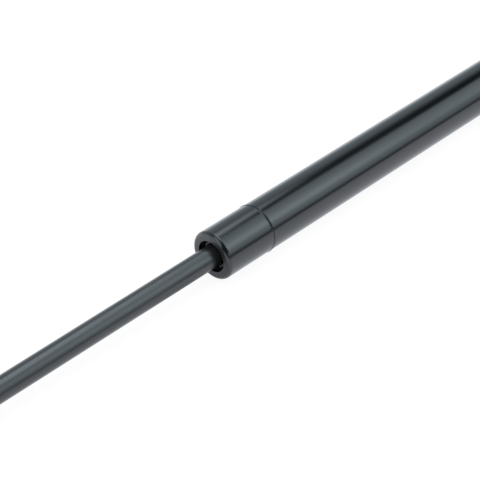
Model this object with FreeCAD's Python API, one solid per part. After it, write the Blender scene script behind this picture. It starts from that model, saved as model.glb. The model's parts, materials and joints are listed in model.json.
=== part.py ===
# Hood gas strut: a gas-charged steel tube, a rod that slides and turns in it, and a moulded
# ball socket with a spring clip and a ball stud at each end. All sizes are in millimetres.
# The strut lies along X as on a table, rod end at -X and closed end at +X, studs up along +Z.
# The origin is on the table, half way between the two ball centres.
import FreeCAD
import Part
import math
import os

V = FreeCAD.Vector
AXIS_X = V(1, 0, 0)
AXIS_Z = V(0, 0, 1)

# Tube, rod and travel
TUBE_RADIUS = 9.2
BORE_RADIUS = 7.6
TUBE_LENGTH = 242.0           # outer face of the rod-end cap to the rolled base
ROD_RADIUS = 4.0
STROKE_LENGTH = 180.0
CLOSED_GAP = 6.5              # rod that still shows when the strut is closed
RUNNING_FIT = 0.04            # radial, wherever a piece slides on the rod or in the bore
SEAT_FIT = 0.05               # radial, wherever a fixed piece sits in another
STACK_GAP = 0.05              # axial, between stacked pieces
EDGE_BREAK = 0.2              # turned and trimmed edges
MOULD_ROUND = 0.3             # inside corners of moulded and turned recesses
TOOL_OVERRUN = 1.0            # how far a cutting shape runs past what it cuts

# Cap over the tube's rod end
CAP_LENGTH = 22.0
CAP_SKIRT = 0.65
CAP_FACE = 1.4
CAP_HOLE_RADIUS = 6.0
CAP_EDGE_RADIUS = 1.5
CAP_HOLE_ROUND = 0.4
CAP_LIP_HEIGHT = 0.16         # the rim stands this much proud of the tube
CAP_LIP_WIDTH = 0.5
SEAM_GAP = 0.22
TUBE_SHOULDER_ROUND = 0.25

# Rolled ends of the tube
CURL_THICKNESS = 0.7
CURL_HOLE_RADIUS = 6.6
CURL_ROUND = 0.9
BASE_ROUND = 2.4
BASE_ROLL = 1.5
BASE_HOLE_RADIUS = 5.4

# Bead rolled into the tube under the cap, which holds the guide and seal stack
BEAD_DEPTH = 0.6
BEAD_WIDTH = 1.8
BEAD_SLOPE = 0.5
BEAD_SETBACK = 0.3            # behind the cap's rim

# Rod guide with its fingered collar
GUIDE_RECESS_DEPTH = 2.3
GUIDE_RECESS_RADIUS = 6.4
COLLAR_OUTER_RADIUS = 5.05
COLLAR_INNER_RADIUS = 4.35
COLLAR_SETBACK = 1.7          # finger tips, behind the cap's outer face
COLLAR_ROOT = 0.5
FINGER_COUNT = 6
FINGER_NOTCH_DEGREES = 24.0
FINGER_PHASE_DEGREES = 11.0   # first finger's middle, from +Z towards -Y

# Bush, wiper, seal and stop behind the guide
BUSH_OUTER_RADIUS = 5.0
WIPER_LENGTH = 1.6
WIPER_LIP = 0.5
WIPER_FIT = 0.1
WASHER_THICKNESS = 1.0
WASHER_HOLE_RADIUS = 4.3
SEAL_LENGTH = 4.2
SEAL_HEEL = 1.6
SEAL_LIP = 0.9
SEAL_HEEL_RELIEF = 0.15
SUPPORT_THICKNESS = 2.0
SUPPORT_SPIGOT = 1.7
SUPPORT_SPIGOT_WALL = 0.8
CUSHION_FLANGE = 1.0
CUSHION_PROUD = 0.9           # past the bead, where the piston meets it
CUSHION_BEAD_GAP = 0.25
CUSHION_ROUND = 0.5
STOP_CLEARANCE = 0.3

# Piston on the rod's inner end
PISTON_LENGTH = 9.0
PISTON_RADIUS = 7.3
PISTON_ROUND = 0.6
RING_WIDTH = 2.6
RING_GROOVE_RADIUS = 6.1
RING_SIDE_PLAY = 0.06
PORT_RADIUS = 0.7
PORT_COUNT = 4
PORT_CIRCLE_RADIUS = 4.9
SPIGOT_RADIUS = 2.5
THROTTLE_THICKNESS = 0.8
THROTTLE_RADIUS = 6.3
NUT_ACROSS_FLATS = 8.0
NUT_THICKNESS = 4.0
NUT_CHAMFER = 1.0
SPIGOT_END = 0.6

# Threaded ends that the sockets screw on to, drawn as plain shanks
THREAD_RADIUS = 3.0
THREAD_LENGTH = 10.5
THREAD_FIT = 0.04
THREAD_CHAMFER = 0.6
ROD_CHAMFER = 0.5

# Base plug
PLUG_LENGTH = 12.0
PLUG_NOSE = 1.5               # stands out of the rolled base, and the socket seats on it
PLUG_NOSE_RADIUS = 5.2
ORING_SECTION_RADIUS = 0.85
ORING_FIT = 0.03
ORING_FROM_NOSE = 6.0
ORING_GROOVE_HALF = 1.1
PLUG_CHAMFER = 0.8

# Ball socket, drawn about its ball centre with the mouth up and the shank along +X
BALL_RADIUS = 5.0
BALL_FIT = 0.08
SOCKET_REACH = 26.0           # ball centre to the end of the shank
HEAD_RADIUS = 9.5
HEAD_BACK = 9.5               # ball centre to the flat back that the strut lies on
HEAD_BACK_RADIUS = 8.7
HEAD_DRAFT_HEIGHT = 4.0
HEAD_MOUTH = 5.8              # ball centre to the rim of the mouth
HEAD_ROUND = 0.7
MOUTH_RADIUS = 4.85
MOUTH_CONE_START = 3.7
MOUTH_CONE_RADIUS = 7.0
CORE_RADIUS = 6.3
CORE_DEPTH = 2.5
CORE_RIB = 1.5
BARREL_RADIUS = 5.4
COLLAR_RING_RADIUS = 6.6
COLLAR_RING_LENGTH = 5.0
COLLAR_RING_ROUND = 0.8
COLLAR_RING_FILLET = 0.5
RIB_THICKNESS = 2.4
RIB_HEAD_RADIUS = 8.2
RIB_TAIL_RADIUS = 6.3
RIB_LAP = 1.0                  # how far the ribs run under the end ring
SOCKET_BORE_DEPTH = 13.0

# Spring clip round the socket's nose
CLIP_STRIP = 0.7
CLIP_WIDTH = 3.8
CLIP_LOW = 0.7                # ball centre's height to the strip's lower edge
CLIP_FIT = 0.08
CLIP_BEND_RADIUS = 0.55
CLIP_TRAVEL = 4.5
FINGER_TIP_Y = 4.0
FINGER_BALL_GAP = 0.15
WINDOW_PLAY = 0.2
PRY_NOTCH_WIDTH = 4.4
PRY_NOTCH_DEPTH = 1.1
PRY_NOTCH_DROP = 1.6           # below the strip, where a screwdriver's tip goes in

# Ball stud
NECK_RADIUS = 3.3
NECK_TOP = 8.4                # ball centre to the underside of the hexagon
NECK_FLARE = 1.0
HEX_ACROSS_FLATS = 13.0
HEX_HEIGHT = 4.6
WASHER_FACE = 0.5
WASHER_FACE_RADIUS = 6.2
STUD_RADIUS = 4.0
STUD_LENGTH = 14.0
STUD_CHAMFER = 0.8
HEX_CHAMFER = 0.6
HEX_CHAMFER_INSET = 0.2
BALL_FLAT_RADIUS = 1.8

# Stations along X, all from the sizes above
ROD_SHOWING = STROKE_LENGTH + CLOSED_GAP
EXTENDED = 2 * SOCKET_REACH + ROD_SHOWING + TUBE_LENGTH + PLUG_NOSE
ROD_BALL_X = -EXTENDED / 2
TUBE_BALL_X = EXTENDED / 2
FACE_X = ROD_BALL_X + SOCKET_REACH + ROD_SHOWING
BASE_X = FACE_X + TUBE_LENGTH
CURL_X = FACE_X + CAP_FACE + STACK_GAP
BEAD_END_X = FACE_X + CAP_LENGTH - BEAD_SETBACK
BEAD_X = BEAD_END_X - BEAD_WIDTH
CUSHION_X = BEAD_X - STACK_GAP - CUSHION_FLANGE
SUPPORT_X = CUSHION_X - STACK_GAP - SUPPORT_THICKNESS
SEAL_X = SUPPORT_X - STACK_GAP - SEAL_LENGTH
WASHER_X = SEAL_X - STACK_GAP - WASHER_THICKNESS
GUIDE_X = CURL_X + CURL_THICKNESS + STACK_GAP
GUIDE_END_X = WASHER_X - STACK_GAP
WIPER_X = GUIDE_X + GUIDE_RECESS_DEPTH + COLLAR_ROOT
BUSH_X = WIPER_X + WIPER_LENGTH + STACK_GAP
BUSH_LENGTH = GUIDE_END_X - BUSH_X
CUSHION_END_X = BEAD_END_X + CUSHION_PROUD
PISTON_STOP_X = CUSHION_END_X + STOP_CLEARANCE
PISTON_X = PISTON_STOP_X + WASHER_THICKNESS
THROTTLE_X = PISTON_X + PISTON_LENGTH
NUT_X = THROTTLE_X + THROTTLE_THICKNESS
ROD_END_X = NUT_X + NUT_THICKNESS + SPIGOT_END
RING_X = PISTON_X + (PISTON_LENGTH - RING_WIDTH) / 2
ROD_SHOULDER_X = ROD_BALL_X + SOCKET_REACH
PLUG_SHOULDER_X = BASE_X - BASE_ROLL - STACK_GAP
PLUG_NOSE_X = BASE_X + PLUG_NOSE
SEAT_RADIUS = TUBE_RADIUS - CAP_SKIRT - SEAT_FIT
PACK_RADIUS = BORE_RADIUS - SEAT_FIT
BEAD_RADIUS = BORE_RADIUS - BEAD_DEPTH


def rounded_outline(corners, to_point):
    """Closed face through corners (u, v) or (u, v, radius), each with its own round."""
    points = [(c[0], c[1], c[2] if len(c) > 2 else 0.0) for c in corners]
    count = len(points)
    edges = []
    starts = []
    ends = []
    middles = []
    for i, (u, v, wanted) in enumerate(points):
        before = points[i - 1]
        after = points[(i + 1) % count]
        in_len = math.hypot(before[0] - u, before[1] - v)
        out_len = math.hypot(after[0] - u, after[1] - v)
        a = ((before[0] - u) / in_len, (before[1] - v) / in_len)
        b = ((after[0] - u) / out_len, (after[1] - v) / out_len)
        half = math.acos(max(-1.0, min(1.0, a[0] * b[0] + a[1] * b[1]))) / 2
        reach = min(wanted / math.tan(half), 0.49 * in_len, 0.49 * out_len)
        if wanted <= 0:
            starts.append((u, v))
            ends.append((u, v))
            middles.append(None)
            continue
        radius = reach * math.tan(half)
        bisector = (a[0] + b[0], a[1] + b[1])
        size = math.hypot(*bisector)
        depth = radius / math.sin(half) - radius
        starts.append((u + a[0] * reach, v + a[1] * reach))
        ends.append((u + b[0] * reach, v + b[1] * reach))
        middles.append((u + bisector[0] / size * depth, v + bisector[1] / size * depth))
    for i in range(count):
        if middles[i]:
            arc = Part.Arc(to_point(*starts[i]), to_point(*middles[i]), to_point(*ends[i]))
            edges.append(arc.toShape())
        follow = starts[(i + 1) % count]
        edges.append(Part.makeLine(to_point(*ends[i]), to_point(*follow)))
    return Part.Face(Part.Wire(edges))


def turned(corners):
    """Solid turned about the X axis from (x, radius[, round]) corners."""
    face = rounded_outline(corners, lambda x, r: V(x, 0, r))
    return face.revolve(V(0, 0, 0), AXIS_X, 360)


def turned_upright(corners):
    """Solid turned about the Z axis from (radius, z[, round]) corners."""
    face = rounded_outline(corners, lambda r, z: V(r, 0, z))
    return face.revolve(V(0, 0, 0), AXIS_Z, 360)


def ring(x, length, inner, outer, edge=0.0):
    """Plain ring on the X axis, with its outer edges rounded."""
    return turned([(x, inner), (x, outer, edge), (x + length, outer, edge), (x + length, inner)])


def box(x0, x1, y0, y1, z0, z1):
    """Box between two corners."""
    return Part.makeBox(x1 - x0, y1 - y0, z1 - z0, V(x0, y0, z0))


def hexagon(across_flats, low, high, axis):
    """Hexagonal prism along X or Z, from low to high."""
    corner = across_flats / math.sqrt(3)
    points = []
    for k in range(7):
        angle = math.radians(60 * k)
        a = corner * math.cos(angle)
        b = corner * math.sin(angle)
        points.append(V(low, a, b) if axis == AXIS_X else V(a, b, low))
    return Part.Face(Part.makePolygon(points)).extrude(axis * (high - low))


def one_solid(shape):
    """The single solid that a cut or fuse leaves."""
    solids = shape.Solids
    if len(solids) != 1:
        raise ValueError("expected one solid, found %d" % len(solids))
    return solids[0]


def pressure_tube():
    """Steel tube: stepped down and beaded under the cap, rolled in over guide and base plug."""
    shoulder = FACE_X + CAP_LENGTH + SEAM_GAP
    plug_edge = PLUG_SHOULDER_X + STACK_GAP
    bead_start = BEAD_X + BEAD_SLOPE
    bead_end = BEAD_END_X - BEAD_SLOPE
    bead_round = BEAD_SLOPE / 2
    return turned([
        (CURL_X, CURL_HOLE_RADIUS),
        (CURL_X, SEAT_RADIUS, CURL_ROUND),
        (BEAD_X, SEAT_RADIUS),
        (bead_start, SEAT_RADIUS - BEAD_DEPTH, bead_round),
        (bead_end, SEAT_RADIUS - BEAD_DEPTH, bead_round),
        (BEAD_END_X, SEAT_RADIUS),
        (shoulder, SEAT_RADIUS),
        (shoulder, TUBE_RADIUS, TUBE_SHOULDER_ROUND),
        (BASE_X, TUBE_RADIUS, BASE_ROUND),
        (BASE_X, BASE_HOLE_RADIUS, BASE_ROLL / 4),
        (plug_edge, BASE_HOLE_RADIUS),
        (plug_edge, BORE_RADIUS),
        (BEAD_END_X, BORE_RADIUS),
        (bead_end, BEAD_RADIUS, bead_round),
        (bead_start, BEAD_RADIUS, bead_round),
        (BEAD_X, BORE_RADIUS),
        (CURL_X + CURL_THICKNESS, BORE_RADIUS),
        (CURL_X + CURL_THICKNESS, CURL_HOLE_RADIUS),
    ])


def rod_end_cap():
    """Drawn cap over the tube's end, flush with it, with a fine proud rim at the seam."""
    inner = TUBE_RADIUS - CAP_SKIRT
    rim = FACE_X + CAP_LENGTH
    lip_start = rim - CAP_LIP_WIDTH
    lip_slope = CAP_LIP_WIDTH / 3
    return turned([
        (FACE_X, CAP_HOLE_RADIUS, CAP_HOLE_ROUND),
        (FACE_X, TUBE_RADIUS, CAP_EDGE_RADIUS),
        (lip_start, TUBE_RADIUS),
        (lip_start + lip_slope, TUBE_RADIUS + CAP_LIP_HEIGHT),
        (rim - lip_slope, TUBE_RADIUS + CAP_LIP_HEIGHT),
        (rim, TUBE_RADIUS - CAP_SKIRT / 4),
        (rim, inner),
        (FACE_X + CAP_FACE, inner, CURL_ROUND),
        (FACE_X + CAP_FACE, CAP_HOLE_RADIUS, CAP_HOLE_ROUND),
    ])


def rod_guide():
    """Moulded guide: a recess round a collar that six notches part into fingers."""
    tip = FACE_X + COLLAR_SETBACK
    floor = GUIDE_X + GUIDE_RECESS_DEPTH
    body = turned([
        (GUIDE_X, GUIDE_RECESS_RADIUS, EDGE_BREAK),
        (GUIDE_X, PACK_RADIUS, CURL_ROUND / 2),
        (GUIDE_END_X, PACK_RADIUS, MOULD_ROUND),
        (GUIDE_END_X, BUSH_OUTER_RADIUS + SEAT_FIT),
        (WIPER_X, BUSH_OUTER_RADIUS + SEAT_FIT),
        (WIPER_X, COLLAR_INNER_RADIUS),
        (tip, COLLAR_INNER_RADIUS),
        (tip, COLLAR_OUTER_RADIUS, EDGE_BREAK),
        (floor, COLLAR_OUTER_RADIUS, EDGE_BREAK),
        (floor, GUIDE_RECESS_RADIUS, MOULD_ROUND),
    ])
    pitch = 360.0 / FINGER_COUNT
    outer = (COLLAR_OUTER_RADIUS + GUIDE_RECESS_RADIUS) / 2
    for k in range(FINGER_COUNT):
        middle = FINGER_PHASE_DEGREES + pitch * (k + 0.5)
        notch = Part.makeCylinder(
            outer, floor - tip + TOOL_OVERRUN, V(tip - TOOL_OVERRUN, 0, 0), AXIS_X,
            FINGER_NOTCH_DEGREES,
        )
        start = math.degrees(math.atan2(notch.CenterOfMass.z, notch.CenterOfMass.y))
        # a turn about +X carries +Z towards -Y, so the middle is 90 degrees on from +Y
        notch.rotate(V(0, 0, 0), AXIS_X, middle + 90 - start)
        body = body.cut(notch)
    return one_solid(body)


def guide_bush():
    """Plain bearing bush that the rod runs in."""
    return ring(BUSH_X, BUSH_LENGTH, ROD_RADIUS + RUNNING_FIT, BUSH_OUTER_RADIUS, EDGE_BREAK)


def wiper_ring():
    """Rubber wiper whose lip keeps dirt off the bush."""
    lip = ROD_RADIUS + RUNNING_FIT
    outer = BUSH_OUTER_RADIUS - WIPER_FIT
    return turned([
        (WIPER_X + STACK_GAP, lip),
        (WIPER_X + STACK_GAP, outer),
        (WIPER_X + WIPER_LENGTH, outer),
        (WIPER_X + WIPER_LENGTH, lip + WIPER_LIP / 2),
        (WIPER_X + STACK_GAP + WIPER_LIP, lip),
    ])


def seal_washer():
    """Flat washer that backs the seal against the guide."""
    return ring(WASHER_X, WASHER_THICKNESS, WASHER_HOLE_RADIUS, PACK_RADIUS, EDGE_BREAK)


def rod_seal():
    """Rubber seal: a solid heel with an inner and an outer lip that gas pressure spreads."""
    lip_x = SEAL_X + SEAL_LENGTH
    heel_x = SEAL_X + SEAL_HEEL
    inner = ROD_RADIUS + RUNNING_FIT
    return turned([
        (SEAL_X, inner + SEAL_HEEL_RELIEF, EDGE_BREAK / 2),
        (SEAL_X, PACK_RADIUS, MOULD_ROUND),
        (lip_x, PACK_RADIUS),
        (lip_x, PACK_RADIUS - SEAL_LIP, EDGE_BREAK),
        (heel_x, PACK_RADIUS - SEAL_LIP, MOULD_ROUND),
        (heel_x, inner + SEAL_LIP, MOULD_ROUND),
        (lip_x, inner + SEAL_LIP, EDGE_BREAK),
        (lip_x, inner),
    ])


def seal_support():
    """Steel support ring whose spigot stands between the seal's lips."""
    middle = (ROD_RADIUS + PACK_RADIUS) / 2
    half = SUPPORT_SPIGOT_WALL / 2
    end = SUPPORT_X + SUPPORT_THICKNESS
    return turned([
        (SUPPORT_X, WASHER_HOLE_RADIUS),
        (SUPPORT_X, middle - half),
        (SUPPORT_X - SUPPORT_SPIGOT, middle - half, EDGE_BREAK),
        (SUPPORT_X - SUPPORT_SPIGOT, middle + half, EDGE_BREAK),
        (SUPPORT_X, middle + half),
        (SUPPORT_X, PACK_RADIUS, EDGE_BREAK),
        (end, PACK_RADIUS, EDGE_BREAK),
        (end, WASHER_HOLE_RADIUS),
    ])


def stop_cushion():
    """Elastomer ring, its flange held by the bead, that the piston meets at full extension."""
    nose = BEAD_RADIUS - CUSHION_BEAD_GAP
    flange_end = CUSHION_X + CUSHION_FLANGE
    return turned([
        (CUSHION_X, WASHER_HOLE_RADIUS),
        (CUSHION_X, PACK_RADIUS, EDGE_BREAK),
        (flange_end, PACK_RADIUS, EDGE_BREAK),
        (flange_end, nose),
        (CUSHION_END_X, nose, CUSHION_ROUND),
        (CUSHION_END_X, WASHER_HOLE_RADIUS, CUSHION_ROUND / 2),
    ])


def base_plug():
    """Steel plug in the closed end: O-ring groove, nose and the threaded end for the socket."""
    inner_x = PLUG_SHOULDER_X - PLUG_LENGTH
    groove = ORING_FROM_NOSE + ORING_SECTION_RADIUS
    groove_x = PLUG_SHOULDER_X - groove
    half = ORING_GROOVE_HALF
    floor = BORE_RADIUS - ORING_FIT * 2 - 2 * ORING_SECTION_RADIUS
    thread_end = PLUG_NOSE_X + THREAD_LENGTH
    return turned([
        (inner_x, 0),
        (inner_x, PACK_RADIUS - PLUG_CHAMFER),
        (inner_x + PLUG_CHAMFER, PACK_RADIUS),
        (groove_x - half, PACK_RADIUS),
        (groove_x - half, floor, EDGE_BREAK),
        (groove_x + half, floor, EDGE_BREAK),
        (groove_x + half, PACK_RADIUS),
        (PLUG_SHOULDER_X, PACK_RADIUS, MOULD_ROUND),
        (PLUG_SHOULDER_X, PLUG_NOSE_RADIUS),
        (PLUG_NOSE_X, PLUG_NOSE_RADIUS, MOULD_ROUND),
        (PLUG_NOSE_X, THREAD_RADIUS),
        (thread_end - THREAD_CHAMFER, THREAD_RADIUS),
        (thread_end, THREAD_RADIUS - THREAD_CHAMFER),
        (thread_end, 0),
    ])


def plug_o_ring():
    """O-ring in the plug's groove."""
    middle = BORE_RADIUS - ORING_FIT - ORING_SECTION_RADIUS
    x = PLUG_SHOULDER_X - ORING_FROM_NOSE - ORING_SECTION_RADIUS
    return Part.makeTorus(middle, ORING_SECTION_RADIUS, V(x, 0, 0), AXIS_X)


def piston_rod():
    """Rod with a threaded outer end and a spigot for the piston at its inner end."""
    thread_start = ROD_SHOULDER_X - THREAD_LENGTH
    return turned([
        (thread_start, 0),
        (thread_start, THREAD_RADIUS - THREAD_CHAMFER),
        (thread_start + THREAD_CHAMFER, THREAD_RADIUS),
        (ROD_SHOULDER_X, THREAD_RADIUS),
        (ROD_SHOULDER_X, ROD_RADIUS - ROD_CHAMFER / 2),
        (ROD_SHOULDER_X + ROD_CHAMFER, ROD_RADIUS),
        (PISTON_STOP_X, ROD_RADIUS),
        (PISTON_STOP_X, SPIGOT_RADIUS),
        (ROD_END_X, SPIGOT_RADIUS, 2 * EDGE_BREAK),
        (ROD_END_X, 0),
    ])


def piston():
    """Piston with a ring groove, gas ports and a counterbored front."""
    hole = SPIGOT_RADIUS + SEAT_FIT
    groove_start = RING_X - RING_SIDE_PLAY
    groove_end = RING_X + RING_WIDTH + RING_SIDE_PLAY
    end = PISTON_X + PISTON_LENGTH
    body = turned([
        (PISTON_X, hole),
        (PISTON_X, PISTON_RADIUS, PISTON_ROUND),
        (groove_start, PISTON_RADIUS),
        (groove_start, RING_GROOVE_RADIUS),
        (groove_end, RING_GROOVE_RADIUS),
        (groove_end, PISTON_RADIUS),
        (end, PISTON_RADIUS, PISTON_ROUND),
        (end, hole),
    ])
    for k in range(PORT_COUNT):
        angle = math.radians(360.0 / PORT_COUNT * (k + 0.5))
        centre = V(
            PISTON_X - TOOL_OVERRUN,
            PORT_CIRCLE_RADIUS * math.cos(angle),
            PORT_CIRCLE_RADIUS * math.sin(angle),
        )
        port = Part.makeCylinder(PORT_RADIUS, PISTON_LENGTH + 2 * TOOL_OVERRUN, centre, AXIS_X)
        body = body.cut(port)
    return one_solid(body)


def piston_ring():
    """Sliding ring in the piston's groove, which the rod and piston can turn inside."""
    inner = RING_GROOVE_RADIUS + RUNNING_FIT
    return ring(RING_X, RING_WIDTH, inner, BORE_RADIUS - RUNNING_FIT, EDGE_BREAK)


def piston_washer():
    """Washer between the rod's shoulder and the piston."""
    hole = SPIGOT_RADIUS + SEAT_FIT
    return ring(PISTON_STOP_X, WASHER_THICKNESS, hole, THROTTLE_RADIUS - 2 * PORT_RADIUS, EDGE_BREAK)


def throttle_disc():
    """Thin disc behind the piston, notched so that gas passes slowly one way."""
    hole = SPIGOT_RADIUS + SEAT_FIT
    disc = ring(THROTTLE_X, THROTTLE_THICKNESS, hole, THROTTLE_RADIUS, EDGE_BREAK / 2)
    notch = box(
        THROTTLE_X - TOOL_OVERRUN, THROTTLE_X + THROTTLE_THICKNESS + TOOL_OVERRUN,
        PORT_CIRCLE_RADIUS - PORT_RADIUS, THROTTLE_RADIUS + TOOL_OVERRUN,
        -PORT_RADIUS, PORT_RADIUS,
    )
    notch.rotate(V(0, 0, 0), AXIS_X, 180.0 / PORT_COUNT)
    return one_solid(disc.cut(notch))


def piston_nut():
    """Hexagon nut that clamps the piston on the rod's spigot."""
    prism = hexagon(NUT_ACROSS_FLATS, NUT_X, NUT_X + NUT_THICKNESS, AXIS_X)
    corner = NUT_ACROSS_FLATS / math.sqrt(3)
    envelope = turned([
        (NUT_X, 0),
        (NUT_X, corner),
        (NUT_X + NUT_THICKNESS - NUT_CHAMFER / 2, corner),
        (NUT_X + NUT_THICKNESS, corner - NUT_CHAMFER),
        (NUT_X + NUT_THICKNESS, 0),
    ])
    hole = Part.makeCylinder(
        SPIGOT_RADIUS + SEAT_FIT, NUT_THICKNESS + 2 * TOOL_OVERRUN,
        V(NUT_X - TOOL_OVERRUN, 0, 0), AXIS_X,
    )
    return one_solid(prism.common(envelope).cut(hole))


def socket_head():
    """Round head of the socket, with the ball cavity, the flared mouth and a cored back."""
    head = turned_upright([
        (0, -HEAD_BACK),
        (HEAD_BACK_RADIUS, -HEAD_BACK, HEAD_ROUND),
        (HEAD_RADIUS, HEAD_DRAFT_HEIGHT - HEAD_BACK, HEAD_ROUND),
        (HEAD_RADIUS, HEAD_MOUTH, HEAD_ROUND),
        (0, HEAD_MOUTH),
    ])
    core = Part.makeCylinder(CORE_RADIUS, CORE_DEPTH, V(0, 0, -HEAD_BACK))
    for along, across in ((CORE_RADIUS, CORE_RIB / 2), (CORE_RIB / 2, CORE_RADIUS)):
        core = core.cut(box(-along, along, -across, across, -HEAD_BACK, CORE_DEPTH - HEAD_BACK))
    return head.cut(core)


def socket_shank():
    """Barrel round the threaded bore, with four tapered ribs and an end ring."""
    ring_x = SOCKET_REACH - COLLAR_RING_LENGTH
    shank = turned([
        (0, 0),
        (0, BARREL_RADIUS),
        (ring_x, BARREL_RADIUS, COLLAR_RING_FILLET),
        (ring_x, COLLAR_RING_RADIUS, COLLAR_RING_ROUND),
        (SOCKET_REACH, COLLAR_RING_RADIUS, COLLAR_RING_ROUND),
        (SOCKET_REACH, 0),
    ])
    root_x = HEAD_RADIUS / 2
    outline = [
        V(root_x, -RIB_THICKNESS / 2, -RIB_HEAD_RADIUS),
        V(root_x, -RIB_THICKNESS / 2, RIB_HEAD_RADIUS),
        V(HEAD_RADIUS, -RIB_THICKNESS / 2, RIB_HEAD_RADIUS),
        V(ring_x + RIB_LAP, -RIB_THICKNESS / 2, RIB_TAIL_RADIUS),
        V(ring_x + RIB_LAP, -RIB_THICKNESS / 2, -RIB_TAIL_RADIUS),
        V(HEAD_RADIUS, -RIB_THICKNESS / 2, -RIB_HEAD_RADIUS),
    ]
    upright = Part.Face(Part.makePolygon(outline + outline[:1])).extrude(V(0, RIB_THICKNESS, 0))
    flat = upright.copy()
    flat.rotate(V(0, 0, 0), AXIS_X, 90)
    flat = flat.common(box(0, SOCKET_REACH, -HEAD_RADIUS, HEAD_RADIUS, -HEAD_BACK, CLIP_LOW))
    return shank.fuse([upright, flat])


def ball_cavity():
    """Space for the ball, the throat above it and the cone that lets the stud tilt."""
    sphere = Part.makeSphere(BALL_RADIUS + BALL_FIT)
    throat_z = math.sqrt((BALL_RADIUS + BALL_FIT) ** 2 - MOUTH_RADIUS ** 2)
    throat = turned_upright([
        (0, throat_z / 2),
        (MOUTH_RADIUS, throat_z / 2),
        (MOUTH_RADIUS, MOUTH_CONE_START),
        (MOUTH_CONE_RADIUS, HEAD_MOUTH),
        (MOUTH_CONE_RADIUS, HEAD_MOUTH + TOOL_OVERRUN),
        (0, HEAD_MOUTH + TOOL_OVERRUN),
    ])
    return sphere.fuse(throat)


def clip_space():
    """Groove for the clip round the nose, its two windows and the notch that a tool prises in."""
    low = CLIP_LOW - WINDOW_PLAY
    high = CLIP_LOW + CLIP_WIDTH + WINDOW_PLAY
    window_end = CLIP_STRIP + CLIP_BEND_RADIUS + WINDOW_PLAY
    window_start = CLIP_BEND_RADIUS - CLIP_TRAVEL - WINDOW_PLAY
    floor = HEAD_RADIUS - CLIP_STRIP - 2 * CLIP_FIT
    far = HEAD_RADIUS + TOOL_OVERRUN
    groove = Part.makeCylinder(far, high - low, V(0, 0, low))
    groove = groove.cut(Part.makeCylinder(floor, high - low, V(0, 0, low)))
    groove = groove.common(box(-far, window_end, -far, far, low, high))
    left = box(window_start, window_end, FINGER_TIP_Y - WINDOW_PLAY, far, low, high)
    right = box(window_start, window_end, -far, WINDOW_PLAY - FINGER_TIP_Y, low, high)
    half_notch = PRY_NOTCH_WIDTH / 2
    notch_low = low - PRY_NOTCH_DROP
    notch = box(-far, PRY_NOTCH_DEPTH - floor, -half_notch, half_notch, notch_low, high)
    return groove.fuse([left, right, notch])


def ball_socket():
    """Moulded socket: head, ribbed shank, ball cavity, clip windows and threaded bore."""
    bore = Part.makeCylinder(
        THREAD_RADIUS + THREAD_FIT, SOCKET_BORE_DEPTH,
        V(SOCKET_REACH - SOCKET_BORE_DEPTH, 0, 0), AXIS_X,
    )
    body = socket_head().fuse(socket_shank())
    body = body.cut(ball_cavity()).cut(clip_space()).cut(bore)
    return one_solid(body.removeSplitter())


def socket_clip():
    """Spring-steel strip round the nose, its ends bent in through the windows over the ball."""
    bend = CLIP_BEND_RADIUS
    outer = HEAD_RADIUS - CLIP_FIT
    inner = outer - CLIP_STRIP
    outer_bend = bend + CLIP_STRIP
    diagonal = math.sqrt(0.5)

    def p(x, y):
        return V(x, y, CLIP_LOW)

    def half(side):
        centre = outer - outer_bend
        outside = Part.Arc(
            p(outer_bend, side * centre),
            p(outer_bend * diagonal, side * (centre + outer_bend * diagonal)),
            p(0, side * outer),
        )
        inside = Part.Arc(
            p(bend, side * centre),
            p(bend * diagonal, side * (centre + bend * diagonal)),
            p(0, side * inner),
        )
        return [
            outside.toShape(),
            Part.makeLine(p(outer_bend, side * centre), p(outer_bend, side * FINGER_TIP_Y)),
            Part.makeLine(p(outer_bend, side * FINGER_TIP_Y), p(bend, side * FINGER_TIP_Y)),
            Part.makeLine(p(bend, side * FINGER_TIP_Y), p(bend, side * centre)),
            inside.toShape(),
        ]

    round_outside = Part.Arc(p(0, outer), p(-outer, 0), p(0, -outer)).toShape()
    round_inside = Part.Arc(p(0, inner), p(-inner, 0), p(0, -inner)).toShape()
    edges = half(1) + half(-1) + [round_outside, round_inside]
    face = Part.Face(Part.Wire(Part.__sortEdges__(edges)))
    strip = face.extrude(V(0, 0, CLIP_WIDTH))
    over_ball = Part.makeCylinder(
        BALL_RADIUS + FINGER_BALL_GAP, outer_bend + 2 * TOOL_OVERRUN,
        V(-TOOL_OVERRUN, 0, 0), AXIS_X,
    )
    return one_solid(strip.cut(over_ball))


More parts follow.
